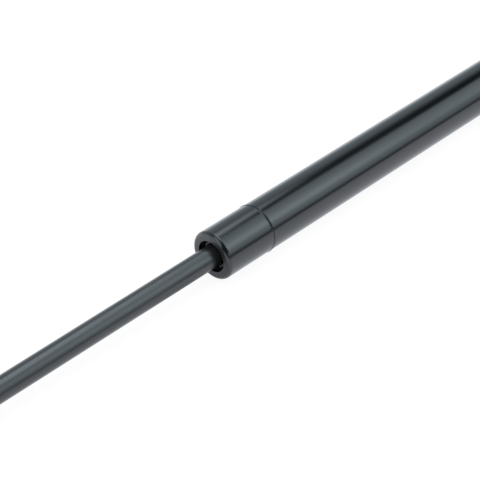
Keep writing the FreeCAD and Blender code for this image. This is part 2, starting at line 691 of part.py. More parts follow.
def ball_stud():
    """Ball stud: ball with a flat foot, flared neck, hexagon, washer face and plain-drawn thread."""
    foot = -math.sqrt(BALL_RADIUS ** 2 - BALL_FLAT_RADIUS ** 2)
    hex_top = NECK_TOP + HEX_HEIGHT
    face_z = hex_top + WASHER_FACE
    end = face_z + STUD_LENGTH
    ball = Part.makeSphere(BALL_RADIUS).common(
        box(-BALL_RADIUS, BALL_RADIUS, -BALL_RADIUS, BALL_RADIUS, foot, BALL_RADIUS)
    )
    stem = turned_upright([
        (0, 0),
        (NECK_RADIUS, 0),
        (NECK_RADIUS, NECK_TOP - NECK_FLARE / 4, NECK_FLARE),
        (NECK_RADIUS + NECK_FLARE, NECK_TOP + HEX_CHAMFER_INSET),
        (NECK_RADIUS + NECK_FLARE, hex_top),
        (WASHER_FACE_RADIUS, hex_top),
        (WASHER_FACE_RADIUS, face_z),
        (STUD_RADIUS, face_z),
        (STUD_RADIUS, end - STUD_CHAMFER),
        (STUD_RADIUS - STUD_CHAMFER, end),
        (0, end),
    ])
    corner = HEX_ACROSS_FLATS / math.sqrt(3)
    flat = HEX_ACROSS_FLATS / 2
    envelope = turned_upright([
        (0, NECK_TOP),
        (flat - HEX_CHAMFER_INSET, NECK_TOP),
        (corner, NECK_TOP + HEX_CHAMFER),
        (corner, hex_top - HEX_CHAMFER),
        (flat - HEX_CHAMFER_INSET, hex_top),
        (0, hex_top),
    ])
    prism = hexagon(HEX_ACROSS_FLATS, NECK_TOP, hex_top, AXIS_Z).common(envelope)
    return one_solid(ball.fuse([stem, prism]).removeSplitter())


def at_rod_end(shape):
    """Moves a piece drawn about a ball centre to the rod end."""
    shape.translate(V(ROD_BALL_X, 0, 0))
    return shape


def at_tube_end(shape):
    """Turns a piece drawn about a ball centre to face the tube and moves it to the closed end."""
    shape.rotate(V(0, 0, 0), AXIS_Z, 180)
    shape.translate(V(TUBE_BALL_X, 0, 0))
    return shape


NODES = {
    "pressure_tube": pressure_tube,
    "rod_end_cap": rod_end_cap,
    "rod_guide": rod_guide,
    "guide_bush": guide_bush,
    "wiper_ring": wiper_ring,
    "seal_washer": seal_washer,
    "rod_seal": rod_seal,
    "seal_support": seal_support,
    "stop_cushion": stop_cushion,
    "base_plug": base_plug,
    "plug_o_ring": plug_o_ring,
    "piston_rod": piston_rod,
    "piston": piston,
    "piston_ring": piston_ring,
    "piston_washer": piston_washer,
    "throttle_disc": throttle_disc,
    "piston_nut": piston_nut,
    "rod_ball_socket": lambda: at_rod_end(ball_socket()),
    "tube_ball_socket": lambda: at_tube_end(ball_socket()),
    "rod_socket_clip": lambda: at_rod_end(socket_clip()),
    "tube_socket_clip": lambda: at_tube_end(socket_clip()),
    "rod_ball_stud": lambda: at_rod_end(ball_stud()),
    "tube_ball_stud": lambda: at_tube_end(ball_stud()),
}


def main():
    """Builds every node, lifts it so that the sockets' backs lie on the table, and writes it."""
    os.makedirs("parts", exist_ok=True)
    for name, make in NODES.items():
        shape = make()
        shape.translate(V(0, 0, HEAD_BACK))
        if not shape.isValid():
            raise ValueError(name + " is not valid")
        shape.exportStep("parts/" + name + ".step")
        print(name, len(shape.Solids), round(shape.Volume, 1))


main()
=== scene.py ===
"""Looks of a hood gas strut: painted tube, nitrided rod, moulded sockets, clips and ball studs.

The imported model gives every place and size. The scene is in metres, +X from the rod end to the
closed end, +Z up, with the sockets' flat backs on the floor. Outlines and the sizes of the
sub-assemblies are in millimetres.
"""

from __future__ import annotations

import json
import logging
import math
from collections.abc import Callable, Sequence
from dataclasses import dataclass
from enum import Enum

import bmesh
import bpy
from mathutils import Matrix, Vector

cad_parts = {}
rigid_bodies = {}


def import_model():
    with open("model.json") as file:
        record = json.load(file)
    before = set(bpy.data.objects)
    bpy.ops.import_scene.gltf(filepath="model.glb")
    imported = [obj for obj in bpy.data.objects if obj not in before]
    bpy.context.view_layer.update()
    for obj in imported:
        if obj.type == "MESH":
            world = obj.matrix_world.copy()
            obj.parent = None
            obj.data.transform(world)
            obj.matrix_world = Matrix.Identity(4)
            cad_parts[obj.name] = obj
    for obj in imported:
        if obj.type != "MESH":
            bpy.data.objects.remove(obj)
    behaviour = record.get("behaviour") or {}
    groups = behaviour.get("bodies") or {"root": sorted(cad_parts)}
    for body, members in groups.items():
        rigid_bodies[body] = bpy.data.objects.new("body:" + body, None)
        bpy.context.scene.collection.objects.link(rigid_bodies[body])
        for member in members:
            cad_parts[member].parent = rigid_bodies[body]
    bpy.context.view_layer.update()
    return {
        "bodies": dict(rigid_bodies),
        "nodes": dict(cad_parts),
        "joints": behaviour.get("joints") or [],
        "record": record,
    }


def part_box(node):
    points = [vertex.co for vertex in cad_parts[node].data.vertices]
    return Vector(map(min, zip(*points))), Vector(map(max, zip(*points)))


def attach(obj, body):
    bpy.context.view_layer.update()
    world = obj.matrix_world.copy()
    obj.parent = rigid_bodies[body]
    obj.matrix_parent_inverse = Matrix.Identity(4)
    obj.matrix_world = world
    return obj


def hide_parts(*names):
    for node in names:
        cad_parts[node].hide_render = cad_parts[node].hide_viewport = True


MM = 0.001
HALF_TURN = 180.0
LOG = logging.getLogger("gas_strut")

Corner = tuple[float, ...]
Point = tuple[float, float]
Range = tuple[float, float]
Triple = tuple[float, float, float]
RadiusAt = Callable[[float], float]
Station = tuple[float, RadiusAt]
Ring = list[bmesh.types.BMVert]
Socket = bpy.types.NodeSocket


class Lay(Enum):
    """How the fine lines of a worked metal run: how fast they change along X, Y and Z."""

    AROUND = (1.0, 0.06, 0.06)
    LENGTHWISE = (0.03, 1.0, 1.0)
    TURNED_UPRIGHT = (0.06, 0.06, 1.0)
    EVEN = (1.0, 1.0, 1.0)


class End(Enum):
    """Which end of the strut a fitting is on, by the name of the body that carries it."""

    ROD = "rod"
    TUBE = "tube"


def rounded(corners: Sequence[Corner], steps: int = 8) -> list[Point]:
    """Rounds the corners of a closed outline.

    Args:
        corners: (u, v) or (u, v, radius) in millimetres, in order round the outline.
        steps: How many straight pieces each round has.

    Returns:
        The outline's points, in millimetres.
    """
    largest_share = 0.49
    points: list[Point] = []
    for i, corner in enumerate(corners):
        here = Vector(corner[:2])
        radius = corner[2] if len(corner) > 2 else 0.0
        back = Vector(corners[i - 1][:2]) - here
        ahead = Vector(corners[(i + 1) % len(corners)][:2]) - here
        if radius <= 0:
            points.append((here.x, here.y))
            continue
        half = back.angle(ahead) / 2
        reach = min(radius / math.tan(half), largest_share * back.length, largest_share * ahead.length)
        radius = reach * math.tan(half)
        middle = here + (back.normalized() + ahead.normalized()).normalized() * radius / math.sin(half)
        start = (here + back.normalized() * reach - middle).normalized()
        end = (here + ahead.normalized() * reach - middle).normalized()
        for k in range(steps + 1):
            arm = start.slerp(end, k / steps) * radius
            points.append((middle.x + arm.x, middle.y + arm.y))
    return points


def finish_mesh(name: str, mesh: bmesh.types.BMesh, sharp_degrees: float = 35.0) -> bpy.types.Object:
    """Turns a bmesh into a smooth-shaded object with sharp edges kept.

    Args:
        name: The object's name.
        mesh: The mesh, in metres; it is freed.
        sharp_degrees: Edges that turn by more than this stay sharp.

    Returns:
        The new object, linked to the scene.
    """
    bmesh.ops.recalc_face_normals(mesh, faces=mesh.faces)
    data = bpy.data.meshes.new(name)
    mesh.to_mesh(data)
    mesh.free()
    data.polygons.foreach_set("use_smooth", [True] * len(data.polygons))
    data.set_sharp_from_angle(angle=math.radians(sharp_degrees))
    piece = bpy.data.objects.new(name, data)
    bpy.context.scene.collection.objects.link(piece)
    return piece


def bridge(mesh: bmesh.types.BMesh, rings: Sequence[Ring]) -> None:
    """Joins each ring of vertices to the next with a band of faces.

    Args:
        mesh: The mesh that the rings are in.
        rings: The rings, all with the same number of vertices.
    """
    for ring, after in zip(rings, rings[1:]):
        for k in range(len(ring)):
            j = (k + 1) % len(ring)
            mesh.faces.new((ring[k], ring[j], after[j], after[k]))


def turned(name: str, outline: Sequence[Point], centre: Vector, segments: int) -> bpy.types.Object:
    """Builds a solid turned about a line along X from a closed outline.

    Args:
        name: The object's name.
        outline: (X, radius) points in millimetres.
        centre: A point on the line, in metres.
        segments: How many flats go round.

    Returns:
        The new object.
    """
    weld_reach = 1e-7
    shortest_edge = 1e-8
    heaviest = 100
    mesh = bmesh.new()
    rings = []
    for along, radius in outline:
        ring = []
        for k in range(segments):
            angle = 2 * math.pi * k / segments
            across = centre.y + radius * MM * math.cos(angle)
            height = centre.z + radius * MM * math.sin(angle)
            ring.append(mesh.verts.new((along * MM, across, height)))
        rings.append(ring)
    bridge(mesh, rings + rings[:1])
    bmesh.ops.remove_doubles(mesh, verts=mesh.verts, dist=weld_reach)
    bmesh.ops.dissolve_degenerate(mesh, edges=mesh.edges, dist=shortest_edge)
    piece = finish_mesh(name, mesh)
    straight = piece.modifiers.new("straight_runs_stay_straight", "WEIGHTED_NORMAL")
    straight.mode = "FACE_AREA"
    straight.weight = heaviest
    straight.keep_sharp = True
    return piece


def shaped(
    name: str, stations: Sequence[Station], centre: Vector, segments: int, sharp_degrees: float
) -> bpy.types.Object:
    """Builds an upright solid whose radius changes with height and angle.

    Args:
        name: The object's name.
        stations: (height above the centre, radius as a function of the angle), in millimetres.
        centre: The point that heights are measured from, in metres.
        segments: How many points each station has.
        sharp_degrees: Edges that turn by more than this stay sharp.

    Returns:
        The new object, closed at both ends.
    """
    mesh = bmesh.new()
    rings = []
    for height, radius in stations:
        ring = []
        for k in range(segments):
            angle = 2 * math.pi * k / segments
            r = radius(angle) * MM
            offset = Vector((r * math.cos(angle), r * math.sin(angle), height * MM))
            ring.append(mesh.verts.new(centre + offset))
        rings.append(ring)
    bridge(mesh, rings)
    mesh.faces.new(rings[0])
    mesh.faces.new(rings[-1])
    return finish_mesh(name, mesh, sharp_degrees)


class Graph:
    """A node tree with short ways to add, set and join nodes."""

    def __init__(self, tree: bpy.types.NodeTree) -> None:
        """Takes a tree over and empties it."""
        self.tree = tree
        tree.nodes.clear()

    def add(self, kind: str, **settings: object) -> bpy.types.Node:
        """Adds a node.

        Args:
            kind: The node's type, such as ShaderNodeMath.
            **settings: Attributes of the node, or sockets or values for its inputs by their name.

        Returns:
            The new node.
        """
        node = self.tree.nodes.new(kind)
        for key, value in settings.items():
            label = key.replace("_", " ").title()
            if label in node.inputs:
                self.plug(node.inputs[label], value)
            else:
                setattr(node, key, value)
        return node

    def join(self, source: Socket, target: Socket) -> None:
        """Links an output to an input."""
        self.tree.links.new(source, target)

    def plug(self, target: Socket, value: object) -> None:
        """Links an output to an input, or sets the input to a plain value.

        Args:
            target: The input.
            value: An output's socket, or a number, colour or vector.
        """
        if isinstance(value, Socket):
            self.join(value, target)
        else:
            target.default_value = value

    def math(self, operation: str, *values: float | Socket, clamp: bool = False) -> Socket:
        """Adds a Math node.

        Args:
            operation: The node's operation.
            *values: Numbers or sockets for its inputs, in order.
            clamp: Whether the result is held between 0 and 1.

        Returns:
            The result.
        """
        node = self.add("ShaderNodeMath", operation=operation, use_clamp=clamp)
        for target, value in zip(node.inputs, values):
            self.plug(target, value)
        return node.outputs[0]

    def vectors(self, operation: str, first: Socket, second: Triple | Socket) -> bpy.types.NodeOutputs:
        """Adds a Vector Math node for two vectors.

        Args:
            operation: The node's operation.
            first: The first vector.
            second: The second vector.

        Returns:
            The node's outputs, Vector and Value.
        """
        node = self.add("ShaderNodeVectorMath", operation=operation)
        self.plug(node.inputs[0], first)
        self.plug(node.inputs[1], second)
        return node.outputs

    def noise(
        self, vector: Socket, scale: float | Socket, detail: float = 2.0, distortion: float = 0.0
    ) -> Socket:
        """Adds a noise texture.

        Args:
            vector: Where the noise is read.
            scale: Features per metre, about.
            detail: How many finer layers it has.
            distortion: How much it is bent.

        Returns:
            The noise's value, from 0 to 1.
        """
        node = self.add(
            "ShaderNodeTexNoise", vector=vector, scale=scale, detail=detail, distortion=distortion
        )
        return node.outputs[0]

    def remap(
        self, value: Socket, low: float, high: float, to_low: float | Socket, to_high: float | Socket
    ) -> Socket:
        """Maps one range of a value on to another, and holds the result inside it.

        Args:
            value: The value.
            low: Where its range starts.
            high: Where its range ends.
            to_low: What low becomes.
            to_high: What high becomes.

        Returns:
            The result.
        """
        node = self.add("ShaderNodeMapRange", clamp=True, value=value)
        node.inputs["From Min"].default_value = low
        node.inputs["From Max"].default_value = high
        self.plug(node.inputs["To Min"], to_low)
        self.plug(node.inputs["To Max"], to_high)
        return node.outputs[0]

    def mix(self, factor: Socket, first: object, second: object) -> Socket:
        """Mixes two colours.

        Args:
            factor: How much of the second colour there is, from 0 to 1.
            first: The first colour, as a socket or four numbers.
            second: The second colour, as a socket or four numbers.

        Returns:
            The mixed colour.
        """
        node = self.add("ShaderNodeMix", data_type="RGBA")
        colour_inputs = node.inputs[6:8]
        for target, value in zip((node.inputs[0], *colour_inputs), (factor, first, second)):
            self.plug(target, value)
        return node.outputs[2]


def rgba(red: float, green: float, blue: float) -> tuple[float, float, float, float]:
    """Gives a solid colour as a socket takes it."""
    return (red, green, blue, 1.0)


class Effect(Graph):
    """A shader group that takes a place and some values, and puts out one value."""

    def __init__(self, name: str, output: str, **values: float) -> None:
        """Starts the group.

        Args:
            name: The group's name.
            output: What it puts out.
            **values: The values that it takes, in lower case, with their usual amounts.
        """
        super().__init__(bpy.data.node_groups.new(name, "ShaderNodeTree"))
        sockets = self.tree.interface
        sockets.new_socket(name="Vector", in_out="INPUT", socket_type="NodeSocketVector")
        for key, usual in values.items():
            socket = sockets.new_socket(name=key.title(), in_out="INPUT", socket_type="NodeSocketFloat")
            socket.default_value = usual
        sockets.new_socket(name=output, in_out="OUTPUT", socket_type="NodeSocketFloat")
        self.given = self.add("NodeGroupInput").outputs
        self.place = self.given["Vector"]

    def finish(self, value: Socket) -> bpy.types.NodeTree:
        """Joins the value that the group puts out, and hands the group over."""
        self.join(value, self.add("NodeGroupOutput").inputs[0])
        return self.tree


class Effects:
    """The shader groups that several finishes share."""

    def __init__(self) -> None:
        """Builds each group once."""
        self.scratches = self.build_scratches()
        self.specks = self.build_specks()
        self.smudges = self.build_smudges()
        self.lay_lines = self.build_lay_lines()
        self.edge_wear = self.build_edge_wear()

    @staticmethod
    def build_scratches() -> bpy.types.NodeTree:
        """Builds thin broken hairlines, as handling leaves on paint and metal.

        Returns:
            The group, which puts out 1 on a hairline and 0 beside it.
        """
        layers = 1.0
        bend = 1.2
        middle = 0.5
        patch_scale = 55.0
        patch_edge = (0.52, 0.62)
        g = Effect("hairline_scratches", "Mask", scale=160.0, width=0.006)
        bent = g.noise(g.place, g.given["Scale"], layers, bend)
        away = g.math("ABSOLUTE", g.math("SUBTRACT", bent, middle))
        line = g.math("SUBTRACT", 1.0, g.math("DIVIDE", away, g.given["Width"]), clamp=True)
        patch = g.remap(g.noise(g.place, patch_scale), *patch_edge, 0.0, 1.0)
        return g.finish(g.math("MULTIPLY", line, patch))

    @staticmethod
    def build_specks() -> bpy.types.NodeTree:
        """Builds small separate grains, such as dust or fibre ends.

        Returns:
            The group, which puts out 1 on a grain and 0 between the grains.
        """
        dot_edge = (0.08, 0.3)
        g = Effect("fine_specks", "Mask", scale=900.0, share=0.1)
        cells = g.add("ShaderNodeTexVoronoi", vector=g.place, scale=g.given["Scale"]).outputs
        split = g.add("ShaderNodeSeparateColor", color=cells["Color"])
        chosen = g.math("LESS_THAN", split.outputs[0], g.given["Share"])
        dot = g.remap(cells["Distance"], *dot_edge, 1.0, 0.0)
        return g.finish(g.math("MULTIPLY", chosen, dot))

    @staticmethod
    def build_smudges() -> bpy.types.NodeTree:
        """Builds soft uneven patches that change how a surface shines.

        Returns:
            The group, which puts out values from Low to High.
        """
        layers = 4.0
        bend = 0.4
        noise_range = (0.3, 0.7)
        g = Effect("soft_smudges", "Value", scale=60.0, low=0.0, high=1.0)
        broad = g.noise(g.place, g.given["Scale"], layers, bend)
        return g.finish(g.remap(broad, *noise_range, g.given["Low"], g.given["High"]))

    @staticmethod
    def build_lay_lines() -> bpy.types.NodeTree:
        """Builds the fine parallel lines that turning, grinding or drawing leaves.

        Returns:
            The group, which puts out the lines' height from 0 to 1.
        """
        fine_layers = 3.0
        fine_weight = 0.6
        broad_share = 0.31
        broad_weight = 0.4
        g = Effect("lay_lines", "Height", fineness=6000.0)
        fine = g.noise(g.place, g.given["Fineness"], fine_layers)
        broad = g.noise(g.place, g.math("MULTIPLY", g.given["Fineness"], broad_share))
        fine_part = g.math("MULTIPLY", fine, fine_weight)
        return g.finish(g.math("ADD", fine_part, g.math("MULTIPLY", broad, broad_weight)))

    @staticmethod
    def build_edge_wear() -> bpy.types.NodeTree:
        """Builds rubbed edges: where a rounded normal leaves the true one, broken up by noise.

        Returns:
            The group, which puts out how worn a place is, from 0 to Amount.
        """
        edge_range = (0.80, 0.985)
        break_scale = 900.0
        break_layers = 4.0
        break_range = (0.38, 0.62)
        least_worn = 0.25
        g = Effect("edge_wear", "Mask", width=0.0003, amount=1.0)
        soft = g.add("ShaderNodeBevel", samples=4, radius=g.given["Width"]).outputs[0]
        true = g.add("ShaderNodeNewGeometry").outputs["Normal"]
        agreement = g.vectors("DOT_PRODUCT", soft, true)["Value"]
        edge = g.remap(agreement, *edge_range, 1.0, 0.0)
        uneven = g.noise(g.place, break_scale, break_layers)
        worn = g.math("MULTIPLY", edge, g.remap(uneven, *break_range, least_worn, 1.0))
        return g.finish(g.math("MULTIPLY", worn, g.given["Amount"]))


class Surface(Graph):
    """A material being built, with its shader and its object coordinates."""

    def __init__(self, name: str) -> None:
        """Starts a material, with its shader joined to its output.

        Args:
            name: The material's name.
        """
        self.material = bpy.data.materials.new(name)
        self.material.use_nodes = True
        super().__init__(self.material.node_tree)
        self.shader = self.add("ShaderNodeBsdfPrincipled")
        self.add("ShaderNodeOutputMaterial", surface=self.shader.outputs[0])
        self.place = self.add("ShaderNodeTexCoord").outputs["Object"]

    def effect(self, tree: bpy.types.NodeTree, vector: Socket, **values: float) -> Socket:
        """Places a shared effect.

        Args:
            tree: The effect's group.
            vector: Where the effect is read.
            **values: Its other inputs by name, in lower case.

        Returns:
            The effect's only output.
        """
        node = self.add("ShaderNodeGroup", node_tree=tree)
        self.join(vector, node.inputs["Vector"])
        for key, value in values.items():
            node.inputs[key.title()].default_value = value
        return node.outputs[0]

    def bump(self, height: Socket, depth: float, under: Socket | None = None) -> Socket:
        """Adds a bump.

        Args:
            height: The height, from 0 to 1.
            depth: How deep a height of 1 is, in metres.
            under: A normal to lay the bump on.

        Returns:
            The bumped normal.
        """
        node = self.add("ShaderNodeBump", distance=depth, height=height)
        if under is not None:
            self.join(under, node.inputs["Normal"])
        return node.outputs[0]

    def feed(self, label: str, value: float | Socket) -> None:
        """Gives one of the shader's inputs its value, plain or changing."""
        self.plug(self.shader.inputs[label], value)


@dataclass(frozen=True)
class PaintFinish:
    """Glossy black paint over steel: faint orange peel, hairlines, dust and rubbed edges."""

    name: str = "black_tube_paint"
    deep: Triple = (0.0060, 0.0068, 0.0073)
    worn: Triple = (0.060, 0.066, 0.070)
    wear_width: float = 0.00025
    wear_amount: float = 0.35
    hairline_scale: float = 150.0
    hairline_width: float = 0.004
    hairline_tone: float = 0.16
    dust_scale: float = 1400.0
    dust_share: float = 0.03
    dust_tone: float = 0.10
    mark_depth: float = 2.0e-6
    mark_dulling: float = 0.25
    smudge_scale: float = 70.0
    gloss_low: float = 0.085
    gloss_high: float = 0.115
    satin_facing: Range = (0.90, 0.99)
    satin_ends: float = 0.34
    peel_depth: float = 3.0e-6
    peel_scale: float = 700.0
    index: float = 1.75

    def build(self, effects: Effects) -> bpy.types.Material:
        """Builds the material, which is duller on faces that look along the strut.

        Args:
            effects: The shared shader groups.

        Returns:
            The finished material.
        """
        s = Surface(self.name)
        wear = s.effect(effects.edge_wear, s.place, width=self.wear_width, amount=self.wear_amount)
        lines = s.effect(effects.scratches, s.place, scale=self.hairline_scale, width=self.hairline_width)
        dust = s.effect(effects.specks, s.place, scale=self.dust_scale, share=self.dust_share)
        line_tone = s.math("MULTIPLY", lines, self.hairline_tone)
        marks = s.math("ADD", line_tone, s.math("MULTIPLY", dust, self.dust_tone), clamp=True)
        marked = s.math("ADD", marks, wear, clamp=True)
        s.feed("Base Color", s.mix(marked, rgba(*self.deep), rgba(*self.worn)))
        gloss = s.effect(
            effects.smudges, s.place, scale=self.smudge_scale, low=self.gloss_low, high=self.gloss_high
        )
        normal = s.add("ShaderNodeTexCoord").outputs["Normal"]
        along = s.math("ABSOLUTE", s.add("ShaderNodeSeparateXYZ", vector=normal).outputs["X"])
        satin = s.remap(along, *self.satin_facing, 0.0, self.satin_ends)
        dulled = s.math("ADD", satin, s.math("MULTIPLY", marked, self.mark_dulling))
        s.feed("Roughness", s.math("ADD", gloss, dulled, clamp=True))
        peel = s.noise(s.place, self.peel_scale)
        s.feed("Normal", s.bump(peel, self.peel_depth, s.bump(marks, self.mark_depth)))
        s.feed("IOR", self.index)
        return s.material


@dataclass(frozen=True)
class MetalFinish:
    """A worked metal surface: its lay, stain, hairlines and rubbed edges."""

    name: str
    light: Triple
    dark: Triple
    lay: Lay
    rough: Range
    metallic: float = 1.0
    lay_depth: float = 1.2e-6
    fineness: float = 5200.0
    stain_scale: float = 95.0
    stain_weight: float = 0.5
    lay_weight: float = 0.5
    wear: float = 0.4
    wear_width: float = 0.0002
    hair_scale: float = 420.0
    hair_width: float = 0.006
    hair_tone: float = 0.3
    hair_depth: float = -1.5e-6
    rough_tones: Range = (0.25, 0.75)
    index: float = 1.5

    def build(self, effects: Effects) -> bpy.types.Material:
        """Builds the material.

        Args:
            effects: The shared shader groups.

        Returns:
            The finished material.
        """
        s = Surface(self.name)
        along = s.vectors("MULTIPLY", s.place, self.lay.value)["Vector"]
        lines = s.effect(effects.lay_lines, along, fineness=self.fineness)
        stain = s.effect(effects.smudges, s.place, scale=self.stain_scale, low=0.0, high=1.0)
        wear = s.effect(effects.edge_wear, s.place, width=self.wear_width, amount=self.wear)
        hairs = s.effect(effects.scratches, along, scale=self.hair_scale, width=self.hair_width)
        stained = s.math("MULTIPLY", stain, self.stain_weight)
        tone = s.math("ADD", stained, s.math("MULTIPLY", lines, self.lay_weight))
        rubbed = s.math("ADD", wear, s.math("MULTIPLY", hairs, self.hair_tone))
        pale = s.math("ADD", tone, rubbed, clamp=True)
        s.feed("Base Color", s.mix(pale, rgba(*self.dark), rgba(*self.light)))
        s.feed("Roughness", s.remap(tone, *self.rough_tones, *self.rough))
        s.feed("Normal", s.bump(lines, self.lay_depth, s.bump(hairs, self.hair_depth)))
        s.feed("Metallic", self.metallic)
        s.feed("IOR", self.index)
        return s.material


@dataclass(frozen=True)
class MouldedFinish:
    """Moulded polymer or rubber: fine grain, flow mottling, pale fibre ends and a parting line."""

    name: str
    deep: Triple
    pale: Triple
    rough: Range
    grain_depth: float = 9.0e-6
    grain_scale: float = 2600.0
    grain_layers: float = 3.0
    flow_stretch: Triple = (0.5, 1.0, 1.0)
    flow_scale: float = 220.0
    flow_tone: float = 0.35
    fibre_stretch: Triple = (0.35, 1.0, 1.0)
    fibre_scale: float = 5200.0
    fibre_share: float = 0.08
    fibre_depth: float = 3.0e-6
    wear_width: float = 0.0003
    wear_amount: float = 0.35
    parting_height: float | None = None
    parting_width: float = 0.00014
    parting_depth: float = 4.0e-5
    index: float = 1.5

    def build(self, effects: Effects) -> bpy.types.Material:
        """Builds the material, with a hairline where the two halves of a mould part.

        Args:
            effects: The shared shader groups.

        Returns:
            The finished material.
        """
        s = Surface(self.name)
        drawn = s.vectors("MULTIPLY", s.place, self.flow_stretch)["Vector"]
        flow = s.effect(effects.smudges, drawn, scale=self.flow_scale, low=0.0, high=1.0)
        aligned = s.vectors("MULTIPLY", s.place, self.fibre_stretch)["Vector"]
        ends = s.effect(effects.specks, aligned, scale=self.fibre_scale, share=self.fibre_share)
        wear = s.effect(effects.edge_wear, s.place, width=self.wear_width, amount=self.wear_amount)
        mottled = s.math("MULTIPLY", flow, self.flow_tone)
        pale = s.math("ADD", mottled, s.math("ADD", ends, wear), clamp=True)
        s.feed("Base Color", s.mix(pale, rgba(*self.deep), rgba(*self.pale)))
        s.feed("Roughness", s.remap(flow, 0.0, 1.0, *self.rough))
        grain = s.noise(s.place, self.grain_scale, self.grain_layers)
        normal = s.bump(grain, self.grain_depth, s.bump(ends, self.fibre_depth))
        if self.parting_height is not None:
            height = s.add("ShaderNodeSeparateXYZ", vector=s.place).outputs["Z"]
            away = s.math("ABSOLUTE", s.math("SUBTRACT", height, self.parting_height))
            ridge = s.remap(away, 0.0, self.parting_width, 1.0, 0.0)
            normal = s.bump(ridge, self.parting_depth, normal)
        s.feed("Normal", normal)
        s.feed("IOR", self.index)
        return s.material


BALL_HEIGHT = 9.5 * MM
FINISHES = {
    "tube_paint": PaintFinish(),
    "rod_nitride": MetalFinish(
        "black_nitrided_rod", (0.022, 0.024, 0.025), (0.009, 0.010, 0.0105), Lay.AROUND,
        (0.24, 0.30), metallic=0.0, wear=0.3, index=1.72,
    ),
    "guide_polymer": MouldedFinish(
        "dark_guide_polymer", (0.022, 0.022, 0.021), (0.09, 0.09, 0.085), (0.35, 0.5)
    ),
    "bush_bronze": MetalFinish(
        "bush_bronze", (0.62, 0.42, 0.22), (0.38, 0.24, 0.12), Lay.AROUND, (0.25, 0.4)
    ),
    "seal_rubber": MouldedFinish(
        "black_seal_rubber", (0.012, 0.012, 0.012), (0.05, 0.05, 0.05), (0.5, 0.7), fibre_share=0.0
    ),
    "inner_steel": MetalFinish(
        "turned_inner_steel", (0.62, 0.62, 0.63), (0.42, 0.42, 0.43), Lay.AROUND, (0.22, 0.36)
    ),
    "piston_alloy": MetalFinish(
        "cast_piston_alloy", (0.72, 0.72, 0.73), (0.5, 0.5, 0.51), Lay.EVEN, (0.35, 0.5)
    ),
    "ring_polymer": MouldedFinish(
        "pale_ring_polymer", (0.6, 0.59, 0.55), (0.8, 0.79, 0.75), (0.35, 0.5), fibre_share=0.0
    ),
    "socket_nylon": MouldedFinish(
        "black_glass_filled_nylon", (0.016, 0.0165, 0.017), (0.10, 0.10, 0.10), (0.36, 0.5),
        parting_height=BALL_HEIGHT,
    ),
    "clip_steel": MetalFinish(
        "spring_clip_steel", (0.60, 0.59, 0.57), (0.36, 0.355, 0.35), Lay.LENGTHWISE, (0.2, 0.34)
    ),
    "stud_zinc": MetalFinish(
        "bright_zinc_plate", (0.74, 0.75, 0.78), (0.50, 0.51, 0.54), Lay.TURNED_UPRIGHT, (0.16, 0.3)
    ),
}


class Workshop:
    """The loaded frame with its finishes, and the log of what has been made."""

    def __init__(self, frame: dict) -> None:
        """Keeps the frame's nodes and slots, and builds each finish once.
        """
        self.nodes: dict[str, bpy.types.Object] = frame["nodes"]
        effects = Effects()
        self.finishes = {slot: finish.build(effects) for slot, finish in FINISHES.items()}
        self.slots = {row["node"]: row["material_slot"] for row in frame["record"]["subparts"]}

    def keep(self, node: str) -> None:
        """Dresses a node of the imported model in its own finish.

        Args:
            node: The node's name.
        """
        piece = self.nodes[node]
        finish = self.finishes[self.slots[node]]
        for place in piece.material_slots:
            place.material = finish
        if not piece.material_slots:
            piece.data.materials.append(finish)
        LOG.info("kept %s", node)

    def fit(self, piece: bpy.types.Object, node: str, body: str) -> None:
        """Puts a made piece in place of a node, with that node's finish on every face.

        Args:
            piece: The made piece, in its place.
            node: The node that it stands for.
            body: The body that it rides on.
        """
        slot = self.slots[node]
        piece.data.materials.clear()
        piece.data.materials.append(self.finishes[slot])
        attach(piece, body)
        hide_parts(node)
        LOG.info("made %s for %s", piece.name, node)

    def softened(self, node: str, width: float) -> bpy.types.Object:
        """Copies a node's mesh, joins its flat faces and rounds its edges.

        Args:
            node: The node to copy.
            width: The width of the rounding, in metres.

        Returns:
            The new object.
        """
        weld_reach = 2e-6
        flat_degrees = 0.4
        sharp_degrees = 30.0
        mesh = bmesh.new()
        mesh.from_mesh(self.nodes[node].data)
        bmesh.ops.remove_doubles(mesh, verts=mesh.verts, dist=weld_reach)
        bmesh.ops.dissolve_limit(
            mesh, angle_limit=math.radians(flat_degrees), verts=mesh.verts, edges=mesh.edges
        )
        piece = finish_mesh(node + "_finished", mesh, sharp_degrees)
        edge = piece.modifiers.new("rounded_edges", "BEVEL")
        edge.width = width
        edge.segments = 2
        edge.limit_method = "ANGLE"
        edge.angle_limit = math.radians(sharp_degrees)
        edge.harden_normals = True
        edge.use_clamp_overlap = True
        return piece


@dataclass(frozen=True)
class Span:
    """Where a node that is turned about X lies, in millimetres, with its centre in metres."""

    start: float
    end: float
    radius: float
    centre: Vector

    @staticmethod
    def of(node: str) -> Span:
        """Reads a node's place and size from its box.

        Args:
            node: The node's name.

        Returns:
            Its span.
        """
        low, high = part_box(node)
        return Span(low.x / MM, high.x / MM, (high.z - low.z) / 2 / MM, (low + high) / 2)


